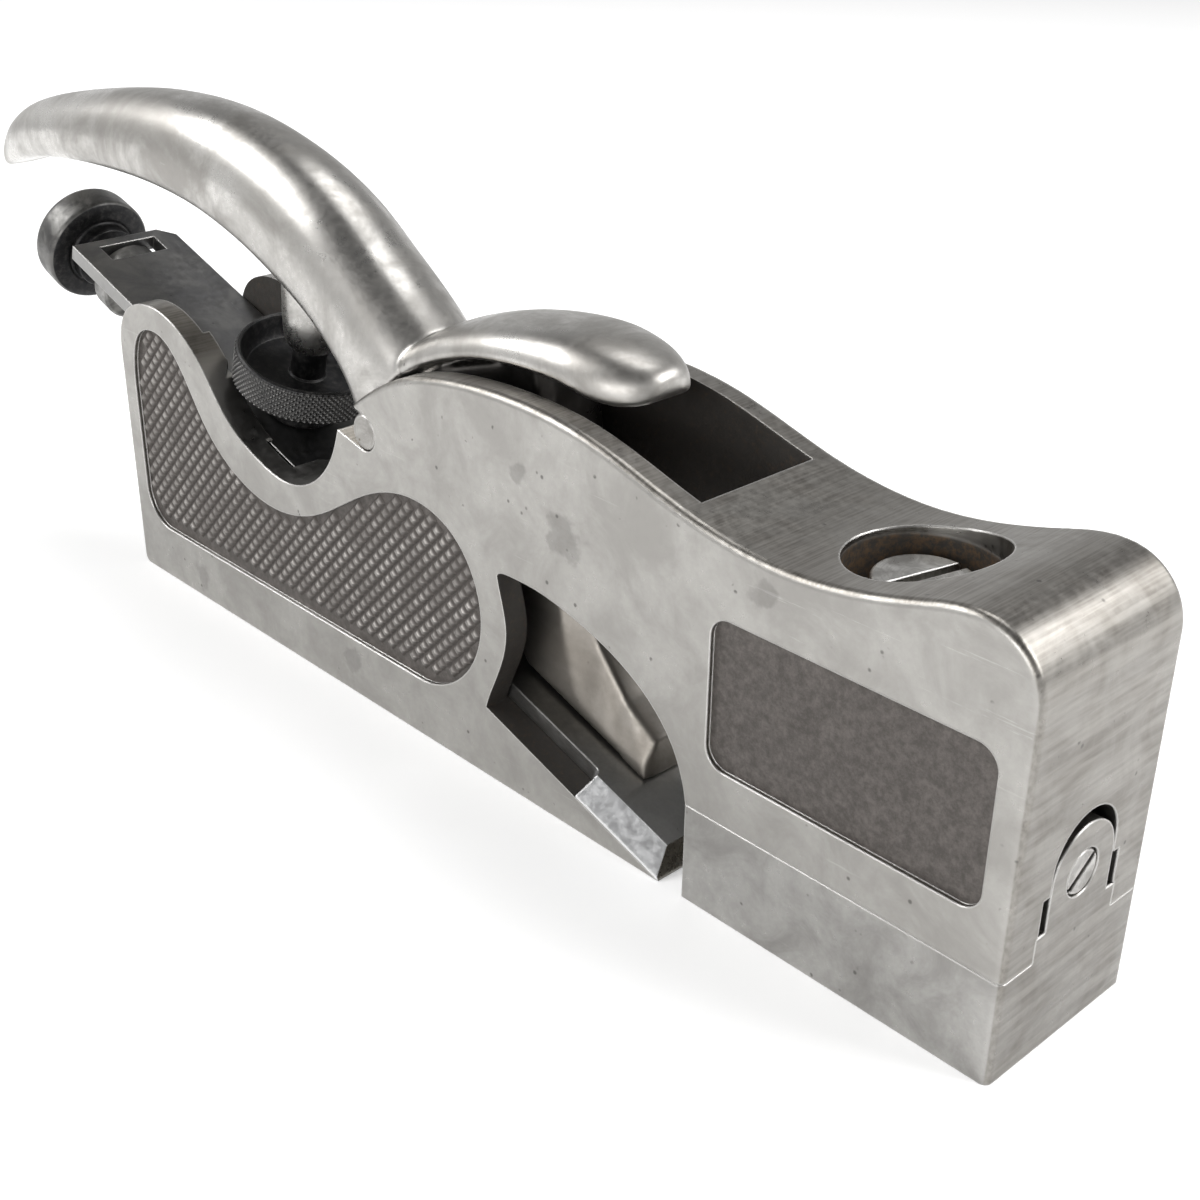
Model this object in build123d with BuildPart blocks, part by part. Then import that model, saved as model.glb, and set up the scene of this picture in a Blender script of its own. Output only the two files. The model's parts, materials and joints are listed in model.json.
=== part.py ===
from build123d import *
import os
from math import cos, radians, sin, tan

# Rebate (shoulder) plane: sliding toe piece, lever cap on a cross pin, screw-adjusted cutter.
# Millimetres, +Z up, +X towards the toe, sole on Z = 0, origin under the middle of the object.
# Side outlines are drawn from the heel: x from the heel face, z from the sole.

# ---- driving dimensions ----------------------------------------------------------------------
body_len = 209.5
body_w = 31.75
lever_reach = 67.0          # the lever's tail stands out this far behind the heel
cheek_t = 4.35              # wall each side of the cutter channel
bed_angle = 18.0
mouth_x = 149.6             # cutting edge, from the heel
mouth_gap = 5.0             # edge to toe piece, as set
toe_h = 16.5                # height of the toe piece at the sides
edge_r = 1.2                # rounding of the body's top edges
slide_gap = 0.05            # between flat faces that slide on each other
turn_gap = 0.05             # radial clearance of turning and threaded fits
press_gap = 0.005           # radial clearance left by a drive fit
side_gap = 0.5              # cutter tang and lever to the channel walls

cutter_t = 3.0
cutter_len = 184.5
head_len = 19.5             # full-width head of the cutter
head_lean = 3.8             # the head's sides lean in by this much towards the top
head_land = 0.4
edge_angle = 45.0
slot_back = 4.8             # adjuster slot's middle, from the tang's end
slot_len = 12.4
slot_w = 5.2
tang_snip = 3.0

spindle_r = 2.6
spindle_drop = 8.0          # spindle axis below the cutter's top face
spindle_reach = 48.0        # from the collar forward, through the bush
collar_r = 7.4
knob_r = 11.2
knob_len = 12.2
knob_gap = 4.5              # from the end of the tang to the knob
hub_r = 6.6                 # hub in front of the knob
hub_len = 3.2
knob_pin_r = 0.9
bush_r = 3.9
heel_web = 20.0             # solid heel behind the hollow
hollow_end = 62.0
hollow_floor = 10.0

pin_r = 3.15
pin_x, pin_z = 79.4, 51.8
notch_rise = 13.0           # the pin notches open towards the heel, rising by this angle
notch_len = 8.0

bridge_back, bridge_front = 24.0, 67.0      # lips and bridge over the tang, from the heel
bridge_gap = 0.12           # above the tang
opening_half = 10.2         # opening in the bridge for the lever screw, half width
opening_x = 52.6            # and its round front end
wheel_gap = 0.9

press_x = 37.5              # the lever screw presses on the cutter here, from the heel
wheel_r = 13.7
wheel_t = 7.1
dish_depth = 4.6
rim_t = 1.0
pad_r = 6.4
pad_t = 6.2
stem_r = 3.2
stem_len = 15.0
spigot_r = 2.4
boss_r = 4.8                # lever boss at its lower end
boss_flare = 8.0            # its side leans out by this angle
boss_lift = 1.5             # the boss ends this far above the wheel's rim
screw_travel = 3.0

clamp_back = 29.0           # clamp screw axis, from the toe
clamp_bore_r = 11.0
clamp_floor_z = 50.6
clamp_head_r = 7.0
clamp_head_t = 6.2
clamp_shank_r = 4.4
clamp_end_z = 6.0
washer_t = 1.0
toe_travel = 3.0            # the toe piece moves this far each way

pad_half = 9.0              # raised pad of the toe piece, half width
pad_top = 20.2
tongue_half = 7.0
pocket_top = 26.0
tongue_top = 33.8
tongue_len = 50.0
pocket_half = 8.7
arch_gap = 0.25             # between tongue and groove at the sides of the arch
arch_rise = 2.2             # and at its crown
mouth_screw_r = 3.5
mouth_screw_len = 15.0
mouth_screw_z = 26.3
stop_r = 2.5
stop_top, stop_end = 46.0, 23.0

recess_depth = 0.9
panel_len, panel_h, panel_r = 47.0, 24.0, 3.4
panel_back, panel_z = 28.0, 37.0

# ---- places worked out from them --------------------------------------------------------------
heel_x = (lever_reach - body_len) / 2
half_w = body_w / 2
channel_half = half_w - cheek_t
tang_half = channel_half - side_gap
bed_cos, bed_sin = cos(radians(bed_angle)), sin(radians(bed_angle))
slope = tan(radians(bed_angle))
toe_x = mouth_x + mouth_gap
clamp_x = body_len - clamp_back
tongue_x = body_len - tongue_len
groove_x = tongue_x - toe_travel - 0.3
arch_z = tongue_top + arch_rise - tongue_half - arch_gap    # centre of the groove's arch
stop_x = body_len - mouth_screw_len - slide_gap - stop_r
top_face = slide_gap + cutter_t         # height of the cutter's top above the bed
axis_h = top_face - spindle_drop        # height of the spindle's axis above the bed
slot_u = cutter_len - slot_back         # the slot's middle, up the bed from the edge
knob_u = cutter_len + knob_gap
bush_u = (mouth_x - heel_web) / bed_cos - 2     # the bush's front end, just inside the hollow
bush_len = heel_web / bed_cos

side = Plane(origin=(heel_x, 0, 0), x_dir=(1, 0, 0), z_dir=(0, -1, 0))
# The bed: local x runs up it from the cutting edge, local z is the height above it.
up_bed = (-bed_cos, 0, bed_sin)
off_bed = (bed_sin, 0, bed_cos)
edge_point = (heel_x + mouth_x, 0, 0)
bed = Plane(origin=edge_point, x_dir=up_bed, z_dir=off_bed)
bed_side = Plane(origin=edge_point, x_dir=up_bed, z_dir=(0, 1, 0))
bed_across = Plane(origin=edge_point, x_dir=(0, -1, 0), z_dir=up_bed)
spindle_axis = Axis(bed.from_local_coords((0, 0, axis_h)), up_bed)


def bed_z(x, height=0.0):
    """Z at x from the heel, on the bed or on a plane at this height above it."""
    return (mouth_x - x) * slope + height / bed_cos


def level(z):
    """A horizontal plane, drawn on from the heel."""
    return Plane(origin=(heel_x, 0, z))


def cross(x):
    """A plane across the body at x from the heel: local x is +Y, local y is +Z."""
    return Plane(origin=(heel_x + x, 0, 0), x_dir=(0, 1, 0), z_dir=(1, 0, 0))


press_u = (mouth_x - press_x) / bed_cos + top_face * slope
press = Plane(origin=bed.from_local_coords((press_u, 0, top_face + slide_gap)), x_dir=up_bed, z_dir=off_bed)
press_side = Plane(origin=press.origin, x_dir=up_bed, z_dir=(0, 1, 0))
press_axis = Axis(press.origin, off_bed)


lever_half = channel_half - side_gap
nose_x = 137.0
nose_h = top_face + slide_gap       # height of the nose's face above the bed
nose_t = 6.6
leg_half = 6.4
spigot_len = 2.6
wheel_h = pad_t + slide_gap         # wheel's lower face above the cutter
boss_h = wheel_h + wheel_t + boss_lift
boss_len = 36 - boss_h      # into the lever's tail


def finish(part, name):
    """Label a finished piece and write it."""
    part.label = name
    export_step(part, f"parts/{name}.step")


os.makedirs("parts", exist_ok=True)

# ---- body ---------------------------------------------------------------------------------------
with BuildPart() as body:
    with BuildSketch(side):
        with BuildLine():
            horn = Spline((0, 46), (2.6, 53.4), (11, 57.2), (20, 56), (28.5, 50.6), (36.4, 41.9),
                          (46, 36.8), (55, 35.1), (64.5, 38.6), (70.2, 45.4), (72, 50.1),
                          tangents=((0, 1), (0.3, 1)), tangent_scalars=(1, 1))
            Line(horn @ 1, (77.2, 56.6))
            back = Spline((77.2, 56.6), (89, 63.6), (101, 66.8), (114, 68), (133, 66.7),
                          (151.5, 61.9), (body_len - 37.5, 59.9), (body_len - 19.5, 63.4),
                          (body_len - 9.5, 65.4), tangents=((1, 0.75), (1, -0.05)), tangent_scalars=(1, 1))
            RadiusArc(back @ 1, (body_len, 55.8), 9.6)
            Line((body_len, 55.8), (body_len, 0))
            Line((body_len, 0), (1.5, 0))
            RadiusArc((1.5, 0), (0, 1.5), 1.5)
            Line((0, 1.5), (0, 46))
        make_face()
    extrude(amount=half_w, both=True)
    rims = body.edges().filter_by(lambda e: abs(abs(e.center().Y) - half_w) < 0.01)
    crest = rims.filter_by(lambda e: e.center().Z > 55 and e.center().X > heel_x + 90)
    front = rims.filter_by(lambda e: abs(e.center().X - heel_x - body_len) < 0.01)
    fillet(crest + front, edge_r)
    # channel for the cutter and the lever, open at the top and at the heel, with a bridge over the tang
    with BuildSketch(side):
        with BuildLine():
            Polyline((-2, 90), (-2, bed_z(-2)), (mouth_x + 4, bed_z(mouth_x + 4)), (toe_x, -2),
                     (toe_x, toe_h + 4), (151, 66), (151, 90), close=True)
        make_face()
        with BuildLine():
            bridge_h = top_face + bridge_gap
            Polyline((bridge_back, bed_z(bridge_back, bridge_h)), (bridge_front, bed_z(bridge_front, bridge_h)),
                     (bridge_front, 60), (bridge_back, 60), close=True)
        make_face(mode=Mode.SUBTRACT)
    extrude(amount=channel_half, both=True, mode=Mode.SUBTRACT)
    # opening in the bridge, and a clearance round the lever screw's wheel
    opening_u = (mouth_x - opening_x) / bed_cos + top_face * slope + opening_half
    with BuildSketch(bed.offset(top_face)):
        with Locations((opening_u, 0)):
            Circle(opening_half)
            Rectangle(30, 2 * opening_half, align=(Align.MIN, Align.CENTER))
    extrude(amount=30, mode=Mode.SUBTRACT)
    with BuildSketch(press.offset(wheel_h - wheel_gap)):
        Circle(wheel_r + wheel_gap)
    extrude(amount=30, mode=Mode.SUBTRACT)
    # throat, open through both sides
    with BuildSketch(side):
        with BuildLine():
            low_end = (toe_x, bed_z(toe_x))
            Line(low_end, (109.6, bed_z(109.6)))
            rear = Spline((109.6, bed_z(109.6)), (113.6, 22.5), (114.9, 29), (112.9, 38),
                          tangents=((0.3, 1), (-0.2, 1)), tangent_scalars=(1, 1))
            Spline(rear @ 1, (115.4, 39), (130, 37.6), (143, 32.8), (151.4, 25.2), (toe_x, toe_h),
                   tangents=((0.4, 1), (0.15, -1)), tangent_scalars=(1, 1))
            Line((toe_x, toe_h), low_end)
        make_face()
    extrude(amount=half_w + 1, both=True, mode=Mode.SUBTRACT)
    # room for the toe piece
    with BuildSketch(side):
        with Locations((body_len + 1, 0)):
            Rectangle(body_len + 1 - toe_x, toe_h, align=(Align.MAX, Align.MIN))
    extrude(amount=half_w + 1, both=True, mode=Mode.SUBTRACT)
    # groove for the toe piece's pad and arched tongue
    with BuildSketch(cross(body_len)):
        with Locations((0, toe_h - 1)):
            Rectangle(2 * (pad_half + slide_gap), pad_top + slide_gap - toe_h + 1,
                      align=(Align.CENTER, Align.MIN))
            Rectangle(2 * pocket_half, pocket_top - toe_h + 1, align=(Align.CENTER, Align.MIN))
            Rectangle(2 * (tongue_half + arch_gap), arch_z - toe_h + 1, align=(Align.CENTER, Align.MIN))
        with Locations((0, arch_z)):
            Circle(tongue_half + arch_gap)
    extrude(amount=groove_x - body_len, mode=Mode.SUBTRACT)
    # counterbore of the clamp screw, and the slot that its shank moves in
    with BuildSketch(level(clamp_floor_z)):
        with Locations((clamp_x, 0)):
            Circle(clamp_bore_r)
    extrude(amount=30, mode=Mode.SUBTRACT)
    with BuildSketch(level(clamp_floor_z + 1)):
        with Locations((clamp_x, 0)):
            SlotCenterToCenter(2 * toe_travel, 2 * (clamp_shank_r + side_gap))
    extrude(amount=toe_h + 2 - clamp_floor_z, mode=Mode.SUBTRACT)
    # blind hole of the stop pin
    with BuildSketch(level(stop_top)):
        with Locations((stop_x, 0)):
            Circle(stop_r + press_gap)
    extrude(amount=toe_h + 2 - stop_top, mode=Mode.SUBTRACT)
    # notches that hold the lever's pin
    with BuildSketch(side):
        with Locations(Location((pin_x, pin_z), 180 - notch_rise)):
            with Locations((notch_len / 2, 0)):
                SlotCenterToCenter(notch_len, 2 * (pin_r + turn_gap))
    extrude(amount=half_w + 1, both=True, mode=Mode.SUBTRACT)
    # hollow under the tang
    with BuildSketch(side):
        with BuildLine():
            Polyline((heel_web, hollow_floor), (hollow_end, hollow_floor), (hollow_end, bed_z(hollow_end) + 1),
                     (heel_web, bed_z(heel_web) + 1), close=True)
        make_face()
    extrude(amount=channel_half, both=True, mode=Mode.SUBTRACT)
    # bore for the threaded bush, through the solid heel
    with BuildSketch(bed_across.offset(bush_u - 5)):
        with Locations((0, axis_h)):
            Circle(bush_r + press_gap)
    extrude(amount=heel_web * 2, mode=Mode.SUBTRACT)
    # checkered recess and name panel, sunk in both sides
    with BuildSketch(side) as recesses:
        with BuildLine():
            sweep_line = Spline((3.9, 38), (8, 51), (15.5, 52.1), (21.5, 47.8), (29.3, 37.5), (41, 30.1),
                                (52, 28.6), (64, 31.8), (77.5, 39.7), (91, 44.1), (102.5, 41),
                                (108.6, 30), (105.2, 18), (92, 10.8),
                                tangents=((0, 1), (-1, 0)), tangent_scalars=(1, 1))
            Line(sweep_line @ 1, (11, 10.8))
            RadiusArc((11, 10.8), (3.9, 17.9), 7.1)
            Line((3.9, 17.9), sweep_line @ 0)
        make_face()
        with Locations((body_len - panel_back, panel_z)):
            RectangleRounded(panel_len, panel_h, panel_r)
    for flank in (half_w - recess_depth, -half_w - 1):
        extrude(recesses.sketch.moved(Location((0, -flank, 0))), amount=recess_depth + 1, mode=Mode.SUBTRACT)
finish(body.part, "body")

# ---- toe piece and what holds it ------------------------------------------------------------------
with BuildPart() as toe_piece:
    with BuildSketch(side):
        with Locations((body_len, 0)):
            Rectangle(body_len - toe_x, toe_h - slide_gap, align=(Align.MAX, Align.MIN))
    extrude(amount=half_w, both=True)
    corners = toe_piece.edges().filter_by(Axis.Z).filter_by(lambda e: e.center().X > heel_x + body_len - 1)
    fillet(corners, edge_r)
    with BuildSketch(cross(body_len)):
        with Locations((0, toe_h - 1)):
            Rectangle(2 * pad_half, pad_top - toe_h + 1, align=(Align.CENTER, Align.MIN))
            Rectangle(2 * tongue_half, tongue_top - tongue_half - toe_h + 1, align=(Align.CENTER, Align.MIN))
        with Locations((0, tongue_top - tongue_half)):
            Circle(tongue_half)
    extrude(amount=-tongue_len)
    # tapped hole of the clamp screw, blind from above
    with BuildSketch(level(clamp_end_z - 1)):
        with Locations((clamp_x, 0)):
            Circle(clamp_shank_r + turn_gap)
    extrude(amount=tongue_top, mode=Mode.SUBTRACT)
    # slot around the stop pin
    with BuildSketch(level(stop_end - 1)):
        with Locations((stop_x, 0)):
            SlotCenterToCenter(2 * toe_travel, 2 * (stop_r + 0.3))
    extrude(amount=tongue_top, mode=Mode.SUBTRACT)
    # tapped hole of the mouth screw
    with BuildSketch(cross(body_len + 1)):
        with Locations((0, mouth_screw_z)):
            Circle(mouth_screw_r + turn_gap)
    extrude(amount=-(mouth_screw_len + toe_travel + 2), mode=Mode.SUBTRACT)
finish(toe_piece.part, "toe_piece")

with BuildPart() as stop_pin:
    with BuildSketch(level(stop_end)):
        with Locations((stop_x, 0)):
            Circle(stop_r)
    extrude(amount=stop_top - 0.5 - stop_end)
    chamfer(stop_pin.edges().group_by(Axis.Z)[0], 0.5)
finish(stop_pin.part, "toe_stop_pin")

with BuildPart() as mouth_screw:
    with BuildSketch(cross(body_len - 0.1)):
        with Locations((0, mouth_screw_z)):
            Circle(mouth_screw_r)
    extrude(amount=-(mouth_screw_len - 0.1))
    chamfer(mouth_screw.edges().filter_by(GeomType.CIRCLE), 0.4)
    with BuildSketch(cross(body_len)):
        with Locations(Location((0, mouth_screw_z), 36)):
            Rectangle(3 * mouth_screw_r, 1.1)
    extrude(amount=-1.6, mode=Mode.SUBTRACT)
finish(mouth_screw.part, "mouth_adjusting_screw")

washer_z = clamp_floor_z + slide_gap
with BuildPart() as washer:
    with BuildSketch(level(washer_z)):
        with Locations((clamp_x, 0)):
            Circle(clamp_head_r)
            Circle(clamp_shank_r + 0.2, mode=Mode.SUBTRACT)
    extrude(amount=washer_t)
finish(washer.part, "toe_clamp_washer")

head_z = washer_z + washer_t
with BuildPart() as clamp_screw:
    with BuildSketch(level(head_z)):
        with Locations((clamp_x, 0)):
            Circle(clamp_head_r)
    extrude(amount=clamp_head_t)
    fillet(clamp_screw.edges().group_by(Axis.Z)[-1], 0.7)
    with BuildSketch(level(head_z)):
        with Locations((clamp_x, 0)):
            Circle(clamp_shank_r)
    extrude(amount=clamp_end_z - head_z)
    chamfer(clamp_screw.edges().group_by(Axis.Z)[0], 0.8)
    with BuildSketch(level(head_z + clamp_head_t)):
        with Locations(Location((clamp_x, 0), 76)):
            Rectangle(3 * clamp_head_r, 1.8)
    extrude(amount=-2.6, mode=Mode.SUBTRACT)
finish(clamp_screw.part, "toe_clamp_screw")

# ---- cutter -----------------------------------------------------------------------------------------
with BuildPart() as cutter:
    with BuildSketch(bed.offset(slide_gap)) as blank:
        with BuildLine():
            Polyline((0, -half_w), (head_len, -half_w), (head_len, -tang_half),
                     (cutter_len - tang_snip, -tang_half), (cutter_len, -tang_half + tang_snip),
                     (cutter_len, tang_half), (head_len, tang_half), (head_len, half_w), (0, half_w),
                     close=True)
        make_face()
        inner = blank.vertices().filter_by(lambda v: abs(v.X - head_len) < 0.01 and abs(v.Y) < half_w - 1)
        fillet(inner, 1.5)
        with Locations((slot_u, 0)):
            Rectangle(slot_w, slot_len, mode=Mode.SUBTRACT)
    extrude(amount=cutter_t)
    # bevel of the cutting edge
    with BuildSketch(bed_side):
        with BuildLine():
            Polyline((-1, slide_gap), (0, slide_gap), (cutter_t / tan(radians(edge_angle)), top_face),
                     (0, top_face + 2), (-1, top_face + 2), close=True)
        make_face()
    extrude(amount=half_w + 1, both=True, mode=Mode.SUBTRACT)
    # leaning sides of the head
    with BuildSketch(bed_across.offset(-1)):
        with BuildLine():
            Polyline((half_w + 1, slide_gap + head_land), (half_w, slide_gap + head_land),
                     (half_w - head_lean, top_face), (half_w - head_lean, top_face + 1),
                     (half_w + 1, top_face + 1), close=True)
        make_face()
        mirror(about=Plane.YZ)
    extrude(amount=head_len + 2, mode=Mode.SUBTRACT)
finish(cutter.part, "cutter")

# ---- adjuster ---------------------------------------------------------------------------------------
pin_plane = Plane(origin=bed.from_local_coords((knob_u + hub_len / 2, 0, axis_h)), x_dir=up_bed, z_dir=off_bed)
with BuildPart() as spindle:
    with BuildSketch(bed_across.offset(slot_u - spindle_reach)):
        with Locations((0, axis_h)):
            Circle(spindle_r)
    extrude(amount=spindle_reach + knob_u - slot_u + knob_len - 2)
    chamfer(spindle.edges().sort_by(spindle_axis)[0], 0.5)
    # collar that drives the cutter
    with BuildSketch(bed_across.offset(slot_u - slot_w / 2 + 0.2)):
        with Locations((0, axis_h)):
            Circle(collar_r)
    extrude(amount=slot_w - 0.4)
    with BuildSketch(pin_plane):
        Circle(knob_pin_r + press_gap)
    extrude(amount=hub_r, both=True, mode=Mode.SUBTRACT)
finish(spindle.part, "adjuster_spindle")

with BuildPart() as bush:
    with BuildSketch(bed_across.offset(bush_u)):
        with Locations((0, axis_h)):
            Circle(bush_r)
            Circle(spindle_r + turn_gap, mode=Mode.SUBTRACT)
    extrude(amount=bush_len)
finish(bush.part, "adjuster_bush")

with BuildPart() as knob:
    with BuildSketch(bed_side):
        with BuildLine():
            face_u = knob_u + hub_len
            back_u = knob_u + knob_len
            Polyline((knob_u, axis_h + spindle_r + press_gap), (knob_u, axis_h + hub_r),
                     (face_u, axis_h + hub_r), (face_u + 0.3, axis_h + knob_r - 1))
            RadiusArc((face_u + 0.3, axis_h + knob_r - 1), (face_u + 1.3, axis_h + knob_r), 1.1)
            Line((face_u + 1.3, axis_h + knob_r), (back_u - 2.6, axis_h + knob_r - 0.2))
            Spline((back_u - 2.6, axis_h + knob_r - 0.2), (back_u - 0.6, axis_h + knob_r - 2.2),
                   (back_u, axis_h + 5), (back_u + 0.4, axis_h),
                   tangents=((1, -0.1), (0, -1)), tangent_scalars=(1, 1))
            Polyline((back_u + 0.4, axis_h), (back_u - 2 + press_gap, axis_h),
                     (back_u - 2 + press_gap, axis_h + spindle_r + press_gap),
                     (knob_u, axis_h + spindle_r + press_gap))
        make_face()
    revolve(axis=spindle_axis)
    with BuildSketch(pin_plane):
        Circle(knob_pin_r + press_gap)
    extrude(amount=hub_r + 1, both=True, mode=Mode.SUBTRACT)
finish(knob.part, "adjuster_knob")

with BuildPart() as knob_pin:
    with BuildSketch(pin_plane):
        Circle(knob_pin_r)
    extrude(amount=hub_r - 0.2, both=True)
finish(knob_pin.part, "adjuster_knob_pin")

# ---- lever ------------------------------------------------------------------------------------------
# Stations along the tail: underside x and z, crown x and z, half width.
tail_stations = [
    (-lever_reach, 67.6, -lever_reach, 70.4, 2.2),
    (-lever_reach + 4, 68.8, -lever_reach + 2.6, 75.2, 4.6),
    (-lever_reach + 12, 70.9, -lever_reach + 9, 80.6, 6.4),
    (-42.0, 74.0, -46.0, 85.1, 7.8),
    (-22.0, 76.4, -24.0, 89.8, 9.0),
    (0.0, 77.2, 0.0, 93.1, 9.6),
    (18.0, 76.0, 22.0, 93.4, 9.9),
    (33.0, 72.8, 41.0, 90.2, 10.2),
    (46.0, 68.2, 56.0, 84.7, 10.5),
    (57.0, 63.0, 67.5, 76.8, 10.8),
    (65.5, 56.0, 77.0, 70.1, lever_half),
    (70.0, 48.0, 84.5, 64.5, lever_half),
]
# Stations along the thumb rest: x, underside z, crown z, half width.
rest_stations = [
    (82.0, 60.5, 66.6, 9.8),
    (90.0, 64.6, 70.6, 9.8),
    (100.0, 68.0, 73.8, 9.8),
    (110.0, 69.5, 75.7, 9.8),
    (119.0, 69.6, 76.4, 9.5),
    (126.5, 68.6, 75.6, 8.4),
    (131.0, 68.8, 74.3, 6.2),
    (134.0, 70.0, 73.0, 2.8),
]


def crowned_section(plane, height, half, foot, waist, shoulder):
    """Face with a flat underside and a rounded crown; shares of the half width shape its sides."""
    with BuildSketch(plane) as section:
        with BuildLine():
            under = Line((-foot * half, 0), (foot * half, 0))
            Spline(under @ 1, (0.98 * half, 0.17 * height), (waist * half, 0.48 * height),
                   (shoulder * half, 0.84 * height), (0, height), (-shoulder * half, 0.84 * height),
                   (-waist * half, 0.48 * height), (-0.98 * half, 0.17 * height), under @ 0)
        make_face()
    return section.sketch


tail_sections = []
for under_x, under_z, crown_x, crown_z, half in tail_stations:
    rise = Vector(crown_x - under_x, 0, crown_z - under_z)
    plane = Plane(origin=(heel_x + under_x, 0, under_z), x_dir=(0, 1, 0), z_dir=(rise.Z, 0, -rise.X))
    tail_sections.append(crowned_section(plane, rise.length, half, 0.84, 0.98, 0.68))
rest_sections = []
for x, under_z, crown_z, half in rest_stations:
    plane = Plane(origin=(heel_x + x, 0, under_z), x_dir=(0, 1, 0), z_dir=(1, 0, 0))
    rest_sections.append(crowned_section(plane, crown_z - under_z, half, 0.9, 0.92, 0.6))

with BuildPart() as lever:
    loft(tail_sections)
    loft(rest_sections)
    # hub round the pin, between the cheeks
    with BuildSketch(side):
        with BuildLine():
            Polyline((71, 54), (75.5, 58.5), (86, 59), (100, 59), (106, 55), (98, 47), (76, 44),
                     (71.5, 47.5), close=True)
        make_face()
    extrude(amount=lever_half, both=True)
    # leg down to the nose on the cutter
    with BuildSketch(side):
        with BuildLine():
            Polyline((nose_x, bed_z(nose_x, nose_h)), (nose_x, bed_z(nose_x, nose_h) + nose_t),
                     (130, 18.6), (123.5, 26), (119, 38), (115, 52), (112.5, 60), (112, 71), (97, 69),
                     (84, 63), (77, 45), (92, 37),
                     (109, bed_z(109, nose_h + 0.4)), (131, bed_z(131, nose_h + 0.4)),
                     (131.5, bed_z(131.5, nose_h)), close=True)
        make_face()
    extrude(amount=leg_half, both=True)
    # boss for the lever screw, leaning out towards the tail
    with BuildSketch(press_side):
        with BuildLine():
            boss_top = boss_h + boss_len
            Polyline((0, boss_h), (boss_r, boss_h), (boss_r + boss_len * tan(radians(boss_flare)), boss_top),
                     (0, boss_top), close=True)
        make_face()
    revolve(axis=press_axis)
    with BuildSketch(press.offset(boss_h - 1)):
        Circle(stem_r + turn_gap)
    extrude(amount=stem_len + screw_travel + 1, mode=Mode.SUBTRACT)
    with BuildSketch(side):
        with Locations((pin_x, pin_z)):
            Circle(pin_r + press_gap)
    extrude(amount=half_w, both=True, mode=Mode.SUBTRACT)
finish(lever.part, "lever")

with BuildPart() as pin:
    with BuildSketch(side):
        with Locations((pin_x, pin_z)):
            Circle(pin_r)
    extrude(amount=half_w - 0.15, both=True)
    chamfer(pin.edges().filter_by(GeomType.CIRCLE), 0.35)
finish(pin.part, "lever_pin")

with BuildPart() as pad:
    with BuildSketch(press):
        Circle(pad_r)
    extrude(amount=pad_t)
    chamfer(pad.edges().filter_by(GeomType.CIRCLE), 0.5)
    with BuildSketch(press.offset(pad_t - spigot_len - 0.2)):
        Circle(spigot_r + turn_gap)
    extrude(amount=spigot_len + 1, mode=Mode.SUBTRACT)
finish(pad.part, "lever_screw_pad")

with BuildPart() as lever_screw:
    with BuildSketch(press_side):
        with BuildLine():
            floor_h = wheel_h + wheel_t - dish_depth
            Polyline((0, wheel_h - spigot_len), (spigot_r, wheel_h - spigot_len), (spigot_r, wheel_h),
                     (wheel_r - 0.8, wheel_h), (wheel_r, wheel_h + 0.8), (wheel_r, wheel_h + wheel_t - 0.8),
                     (wheel_r - 0.8, wheel_h + wheel_t), (wheel_r - rim_t, wheel_h + wheel_t),
                     (wheel_r - rim_t - 1.2, floor_h), (stem_r, floor_h), (stem_r, floor_h + stem_len),
                     (0, floor_h + stem_len), close=True)
        make_face()
    revolve(axis=press_axis)
finish(lever_screw.part, "lever_screw")
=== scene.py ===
# Metal shoulder plane: ground iron body, polished lever, blackened screws, bright cutter.
# Metres, +X towards the toe, +Z up, sole on the floor.
import json
import math

import bmesh
import bpy
from mathutils import Matrix, Vector


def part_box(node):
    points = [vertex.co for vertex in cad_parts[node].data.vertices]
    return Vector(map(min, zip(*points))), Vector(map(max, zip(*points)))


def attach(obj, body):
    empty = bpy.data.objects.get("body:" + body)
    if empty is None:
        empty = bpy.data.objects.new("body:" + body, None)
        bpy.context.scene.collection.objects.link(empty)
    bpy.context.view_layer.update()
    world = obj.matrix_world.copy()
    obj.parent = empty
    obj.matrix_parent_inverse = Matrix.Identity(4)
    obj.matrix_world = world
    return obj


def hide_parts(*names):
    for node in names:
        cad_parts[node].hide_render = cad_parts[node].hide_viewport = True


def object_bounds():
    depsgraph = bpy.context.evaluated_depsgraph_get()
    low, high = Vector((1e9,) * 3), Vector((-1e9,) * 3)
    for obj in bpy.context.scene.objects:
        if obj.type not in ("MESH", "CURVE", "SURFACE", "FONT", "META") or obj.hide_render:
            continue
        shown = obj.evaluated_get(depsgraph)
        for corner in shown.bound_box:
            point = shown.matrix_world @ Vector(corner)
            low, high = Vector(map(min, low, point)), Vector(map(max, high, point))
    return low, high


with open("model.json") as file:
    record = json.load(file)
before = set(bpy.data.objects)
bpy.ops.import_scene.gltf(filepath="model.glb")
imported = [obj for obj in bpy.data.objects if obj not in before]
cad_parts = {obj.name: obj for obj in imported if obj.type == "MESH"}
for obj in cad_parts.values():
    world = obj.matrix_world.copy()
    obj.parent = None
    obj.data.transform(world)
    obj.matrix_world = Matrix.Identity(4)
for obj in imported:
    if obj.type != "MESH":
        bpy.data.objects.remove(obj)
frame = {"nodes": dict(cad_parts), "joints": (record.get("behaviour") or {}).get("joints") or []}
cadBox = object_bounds()
nodes = frame["nodes"]
joints = {joint["name"]: joint for joint in frame["joints"]}
mm = 0.001
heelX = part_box("body")[0].x
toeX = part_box("body")[1].x
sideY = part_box("body")[1].y
print("frame loaded:", len(nodes), "nodes")

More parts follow.
